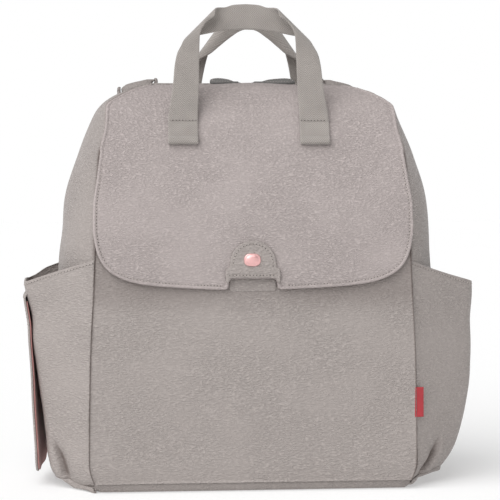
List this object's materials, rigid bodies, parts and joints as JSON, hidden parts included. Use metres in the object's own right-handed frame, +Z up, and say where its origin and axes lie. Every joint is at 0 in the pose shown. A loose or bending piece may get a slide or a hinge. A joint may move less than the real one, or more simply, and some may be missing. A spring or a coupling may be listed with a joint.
{
  "type": "diaper bag",
  "caption": "Backpack-style diaper bag with a stud-closed front flap, top zip, side pockets, two webbing handles and two padded shoulder straps.",
  "frame": {"origin": "centre of the base, on the surface that the bag stands on", "axes": "+Z up, -Y towards the front flap, +X to the right as seen from the front"},
  "size_m": [0.395, 0.187, 0.4094],
  "materials": {
    "grey_leather": "pebbled, satin",
    "dark_leather": "pebbled, satin",
    "pink_lining": "plain woven",
    "grey_lining": "plain woven",
    "webbing": "twill woven",
    "zip_tape": "woven tape",
    "red_label": "woven",
    "foam": "foam",
    "board": "matt",
    "rose_gold": "polished rose plating",
    "dark_metal": "satin",
    "magnet_steel": "brushed",
    "buckle_plastic": "moulded"
  },
  "bodies": {
    "bag": {"front_pocket_panel": "grey_leather", "top_front_panel": "grey_leather", "back_panel": "grey_leather", "top_back_panel": "grey_leather", "left_gusset": "grey_leather", "right_gusset": "grey_leather", "base_panel": "grey_leather", "front_wall": "grey_leather", "back_foam_pad": "foam", "base_board": "board", "lining": "grey_lining", "inner_sleeve_pocket": "grey_lining", "right_pocket": "grey_leather", "left_pocket": "grey_leather", "wipes_flap_strip": "grey_leather", "pocket_magnet": "magnet_steel", "magnet_disc": "magnet_steel", "catch_tab": "grey_leather", "front_handle_ends": "webbing", "back_handle_ends": "webbing", "zip_tape_back": "zip_tape", "zip_tape_front": "zip_tape", "zip_teeth_back": "dark_metal", "zip_teeth_front": "dark_metal", "zip_end_stops": "dark_metal", "side_label": "red_label", "left_strap_tab": "grey_leather", "left_strap_yoke": "grey_leather", "right_strap_tab": "grey_leather", "right_strap_yoke": "grey_leather"},
    "front_flap": {"flap": "grey_leather", "flap_lining": "pink_lining", "closure_patch": "grey_leather", "closure_stud": "rose_gold", "magnet_ring": "magnet_steel"},
    "front_handle_loop": {"front_handle": "webbing"},
    "back_handle_loop": {"back_handle": "webbing"},
    "wipes_cover": {"wipes_flap": "grey_leather", "wipes_flap_lining": "pink_lining", "wipes_flap_magnet": "magnet_steel"},
    "left_zip_slider": {"left_slider": "dark_metal"},
    "left_zip_pull": {"left_pull_link": "dark_metal", "left_pull_tab": "dark_leather"},
    "left_shoulder_strap": {"left_strap": "grey_leather", "left_strap_foam": "foam", "left_strap_buckle": "buckle_plastic"},
    "left_lower_webbing": {"left_strap_webbing": "webbing"},
    "right_zip_slider": {"right_slider": "dark_metal"},
    "right_zip_pull": {"right_pull_link": "dark_metal", "right_pull_tab": "dark_leather"},
    "right_shoulder_strap": {"right_strap": "grey_leather", "right_strap_foam": "foam", "right_strap_buckle": "buckle_plastic"},
    "right_lower_webbing": {"right_strap_webbing": "webbing"}
  },
  "joints": [
    {"name": "flap_lift", "type": "hinge", "parent": "bag", "child": "front_flap", "pos_m": [0, -0.0676, 0.2905], "axis": [-1, 0, 0], "range_deg": [0, 120]},
    {"name": "front_handle_swing", "type": "hinge", "parent": "bag", "child": "front_handle_loop", "pos_m": [0, -0.0616, 0.319], "axis": [-1, 0, 0], "range_deg": [-150, 15]},
    {"name": "back_handle_swing", "type": "hinge", "parent": "bag", "child": "back_handle_loop", "pos_m": [0, 0.0648, 0.319], "axis": [1, 0, 0], "range_deg": [-150, 15]},
    {"name": "wipes_cover_swing", "type": "hinge", "parent": "bag", "child": "wipes_cover", "pos_m": [-0.1958, 0, 0.1636], "axis": [0, 1, 0], "range_deg": [0, 110]},
    {"name": "left_zip_slide", "type": "slide", "parent": "bag", "child": "left_zip_slider", "axis": [-1, 0, 0], "range_m": [0, 0.068]},
    {"name": "left_pull_flip", "type": "hinge", "parent": "left_zip_slider", "child": "left_zip_pull", "pos_m": [-0.0075, 0, 0.35045], "axis": [0, 1, 0], "range_deg": [0, 100]},
    {"name": "left_strap_swing", "type": "hinge", "parent": "bag", "child": "left_shoulder_strap", "pos_m": [-0.097, 0.062, 0.3275], "axis": [1, 0, 0], "range_deg": [0, 6]},
    {"name": "left_webbing_fold", "type": "hinge", "parent": "left_shoulder_strap", "child": "left_lower_webbing", "pos_m": [-0.104, 0.0915, 0.108], "axis": [1, 0, 0], "range_deg": [-30, 0]},
    {"name": "right_zip_slide", "type": "slide", "parent": "bag", "child": "right_zip_slider", "axis": [1, 0, 0], "range_m": [0, 0.068]},
    {"name": "right_pull_flip", "type": "hinge", "parent": "right_zip_slider", "child": "right_zip_pull", "pos_m": [0.0075, 0, 0.35045], "axis": [0, -1, 0], "range_deg": [0, 100]},
    {"name": "right_strap_swing", "type": "hinge", "parent": "bag", "child": "right_shoulder_strap", "pos_m": [0.097, 0.062, 0.3275], "axis": [1, 0, 0], "range_deg": [0, 6]},
    {"name": "right_webbing_fold", "type": "hinge", "parent": "right_shoulder_strap", "child": "right_lower_webbing", "pos_m": [0.104, 0.0915, 0.108], "axis": [1, 0, 0], "range_deg": [-30, 0]}
  ],
  "couplings": [
    {"joint": "left_webbing_fold", "follows": "left_strap_swing", "ratio": -4.6},
    {"joint": "right_webbing_fold", "follows": "right_strap_swing", "ratio": -4.6}
  ]
}
